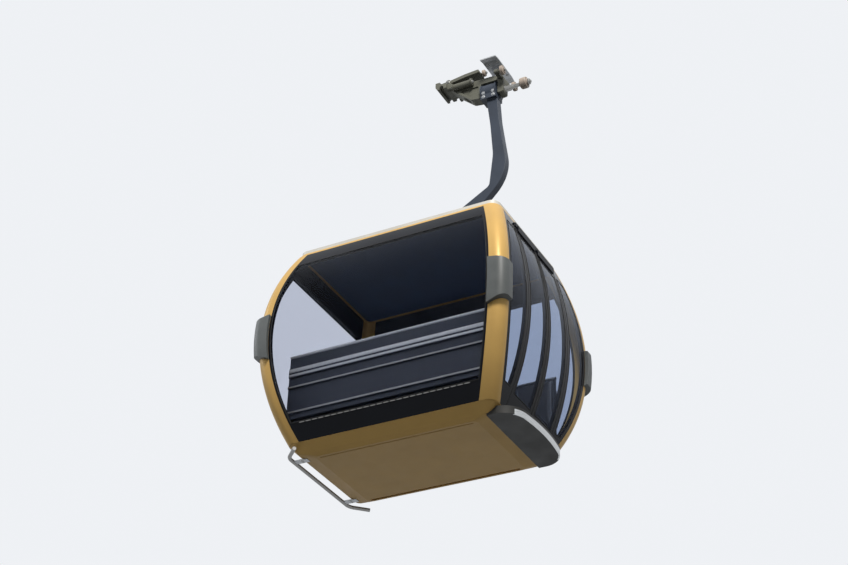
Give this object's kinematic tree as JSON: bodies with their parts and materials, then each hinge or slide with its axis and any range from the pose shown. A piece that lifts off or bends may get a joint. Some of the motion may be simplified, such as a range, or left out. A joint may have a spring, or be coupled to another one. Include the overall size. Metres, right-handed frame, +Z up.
{
  "type": "cable car cabin",
  "caption": "Barrel-shaped gondola cabin with corner posts, big end windows and double side doors, hung by a bowed arm from a rope grip with free-turning rollers.",
  "frame": {"origin": "on the rope's axis in the middle of the grip's jaws", "axes": "+X outboard to the door side, +Y along the rope, +Z up"},
  "size_m": [2.764, 2.0644, 4.636],
  "materials": {
    "gold_paint": "metallic paint",
    "black_gloss": "gloss",
    "tinted_glass": "tinted, clear gloss",
    "bumper_grey": "satin",
    "roof_paint": "satin",
    "lining": "satin",
    "deck_rubber": "ribbed",
    "seat_cover": "satin",
    "bench_paint": "satin",
    "step_black": "satin",
    "step_edge": "brushed",
    "tube_steel": "brushed",
    "galvanised": "galvanised",
    "navy_paint": "satin",
    "grip_cast": "satin",
    "grip_steel": "machined",
    "roller_polymer": "satin",
    "damper_rubber": "matte"
  },
  "bodies": {
    "grip": {"grip_body": "grip_cast", "pivot_shaft": "grip_steel", "jaw_pin": "grip_steel", "guide_rod": "grip_steel", "roller_beam": "grip_cast", "spring_housings": "grip_cast", "friction_plate": "galvanised"},
    "jaw": {"moving_jaw": "grip_cast"},
    "coupling_wheel": {"coupling_roller": "roller_polymer"},
    "guide_wheel": {"guide_roller": "roller_polymer"},
    "track_wheel_near": {"track_roller_near": "roller_polymer"},
    "track_wheel_far": {"track_roller_far": "roller_polymer"},
    "carrier": {"hanger_head": "navy_paint", "hanger_arm": "navy_paint", "suspension_frame": "navy_paint", "dampers": "damper_rubber", "roof_rails": "navy_paint", "roof_panel": "roof_paint", "roof_rim": "gold_paint", "ceiling": "lining", "post_door_far": "gold_paint", "post_door_near": "gold_paint", "post_back_far": "gold_paint", "post_back_near": "gold_paint", "bumpers": "bumper_grey", "end_panel_near": "black_gloss", "end_panel_far": "black_gloss", "end_glass_near": "tinted_glass", "end_glass_far": "tinted_glass", "back_panel": "black_gloss", "back_glass": "tinted_glass", "door_portal": "black_gloss", "portal_glass": "tinted_glass", "door_leaf_near": "black_gloss", "door_leaf_far": "black_gloss", "door_glass_near": "tinted_glass", "door_glass_far": "tinted_glass", "door_rail": "black_gloss", "floor_pan": "gold_paint", "floor_deck": "deck_rubber", "door_step": "step_black", "step_edge": "step_edge", "guide_tube": "tube_steel", "tube_brackets": "galvanised", "bench_frame_near": "bench_paint", "bench_frame_far": "bench_paint", "seat_pads_near": "seat_cover", "seat_pads_far": "seat_cover", "backrests_near": "seat_cover", "backrests_far": "seat_cover"}
  },
  "joints": [
    {"name": "swing", "type": "hinge", "parent": "grip", "child": "carrier", "pos_m": [0.543, 0, -0.17], "axis": [1, 0, 0], "range_deg": [-45, 45]},
    {"name": "jaw_open", "type": "hinge", "parent": "grip", "child": "jaw", "pos_m": [0.062, 0, 0.082], "axis": [0, 1, 0], "range_deg": [0, 10], "stiffness_Nm_per_rad": 2000, "springref_deg": -11.46},
    {"name": "coupling_spin", "type": "hinge", "parent": "jaw", "child": "coupling_wheel", "pos_m": [0.452, 0, 0.138], "axis": [1, 0, 0], "continuous": true},
    {"name": "guide_spin", "type": "hinge", "parent": "grip", "child": "guide_wheel", "pos_m": [0.93, 0, -0.17], "axis": [1, 0, 0], "continuous": true},
    {"name": "track_spin_near", "type": "hinge", "parent": "grip", "child": "track_wheel_near", "pos_m": [0.744, -0.15, -0.04], "axis": [1, 0, 0], "continuous": true},
    {"name": "track_spin_far", "type": "hinge", "parent": "grip", "child": "track_wheel_far", "pos_m": [0.744, 0.15, -0.04], "axis": [1, 0, 0], "continuous": true}
  ]
}
